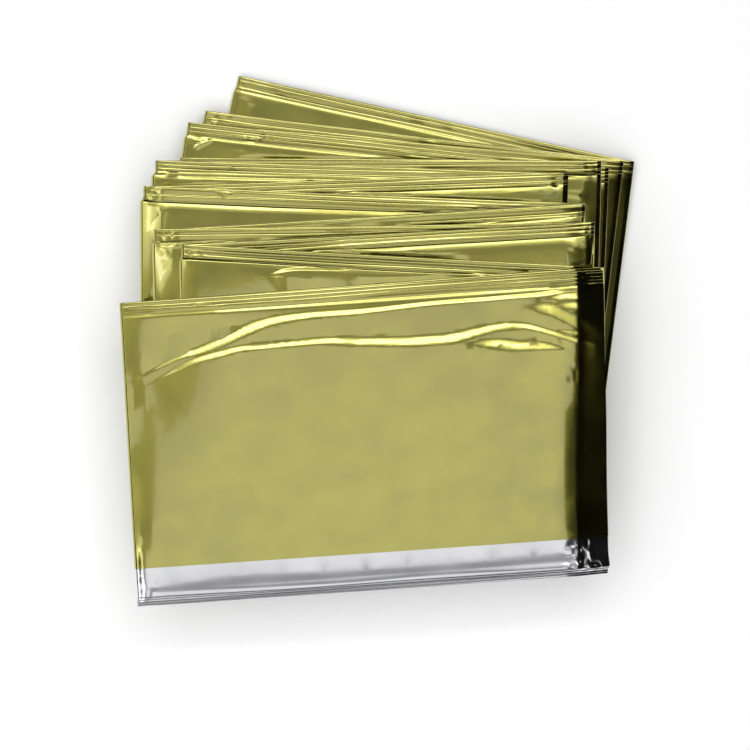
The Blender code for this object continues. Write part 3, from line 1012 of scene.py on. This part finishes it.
# The lamps that the film mirrors.
SoftBox = namedtuple("SoftBox", "name x y z size_x size_y radiance")
SOFT_BOXES = [SoftBox(*row) for row in (
    ("overhead_front", 0.01, -0.43, 1.5, 0.58, 0.26, 0.36),
    ("overhead", 0.01, -0.12, 1.5, 0.58, 0.36, 0.86),
    ("overhead_middle", 0.01, 0.205, 1.5, 0.58, 0.29, 0.27),
    ("front", 0.0, -0.87, 1.505, 1.6, 0.6, 0.24),
    ("overhead_back", 0.0, 0.47, 1.505, 1.2, 0.24, 0.6),
    ("back", 0.0, 0.83, 1.5, 1.6, 0.48, 1.15),
    ("back_core", 0.0, 0.75, 1.495, 1.2, 0.2, 2.8),
    ("left", -0.36, -0.1, 1.5, 0.16, 0.9, 0.22),
    ("far_left", -0.65, 0.0, 1.5, 0.42, 0.9, 1.0),
    ("far_left_core", -0.62, 0.0, 1.495, 0.08, 0.8, 2.0),
    ("right_back", 0.55, 0.38, 1.5, 0.5, 0.28, 0.3),
    ("right", 0.55, -0.17, 1.5, 0.5, 0.8, 0.035),
    ("right_glow", 0.38, 0.21, 1.495, 0.16, 0.16, 0.5),
)]
# One more lights the floor and isn't mirrored.
FLOOR_FILL = SoftBox("floor_fill", -0.6, -0.8, 1.8, 3.7, 3.7, 1.72)

# The pale studio round the blanket, which only its reflections show: the direction each wall lies in, in
# degrees from +X towards +Y, and how high it reaches.
Wall = namedtuple("Wall", "name direction high radiance")
WALLS = [
    Wall("right_wall", 0.0, 0.22, 0.3),
    Wall("back_wall", 90.0, 1.1, 0.7),
    Wall("left_wall", 180.0, 1.1, 0.7),
    Wall("front_wall", 270.0, 1.1, 0.7),
]
WALL_DISTANCE, WALL_WIDTH, WALL_LOW = 2.5, 5.0, 0.02


def make_light(name, place, turn, width, length, radiance):
    """An evenly bright rectangle that faces down before it is turned."""
    data = bpy.data.lights.new(name, "AREA")
    data.shape = "RECTANGLE"
    data.size, data.size_y = width, length
    data.energy = radiance * math.pi * width * length
    light = bpy.data.objects.new(name, data)
    light.location, light.rotation_euler = place, turn
    bpy.context.scene.collection.objects.link(light)
    return light


def make_soft_box(box):
    """A lamp that faces straight down."""
    return make_light(box.name, (box.x, box.y, box.z), (0.0, 0.0, 0.0), box.size_x, box.size_y, box.radiance)


def make_wall(wall):
    """An upright light that faces the blanket."""
    direction = math.radians(wall.direction)
    x, y = WALL_DISTANCE * math.cos(direction), WALL_DISTANCE * math.sin(direction)
    turn = (math.pi / 2, 0.0, direction + math.pi / 2)
    light = make_light(wall.name, (x, y, (WALL_LOW + wall.high) / 2), turn,
                       WALL_WIDTH, wall.high - WALL_LOW, wall.radiance)
    light.visible_camera = light.visible_diffuse = False


def make_lights():
    """The lamps, the walls and a world with hardly any light of its own."""
    for box in SOFT_BOXES:
        make_soft_box(box)
    for wall in WALLS:
        make_wall(wall)
    make_soft_box(FLOOR_FILL).visible_glossy = False
    world = bpy.data.worlds.new("studio")
    bpy.context.scene.world = world
    world.use_nodes = True
    set_inputs(world.node_tree, world.node_tree.nodes["Background"],
               {"Color": (1.0, 1.0, 1.0, 1.0), "Strength": WORLD_STRENGTH})


make_floor()
make_lights()
bpy.context.scene.view_settings.view_transform = "Standard"
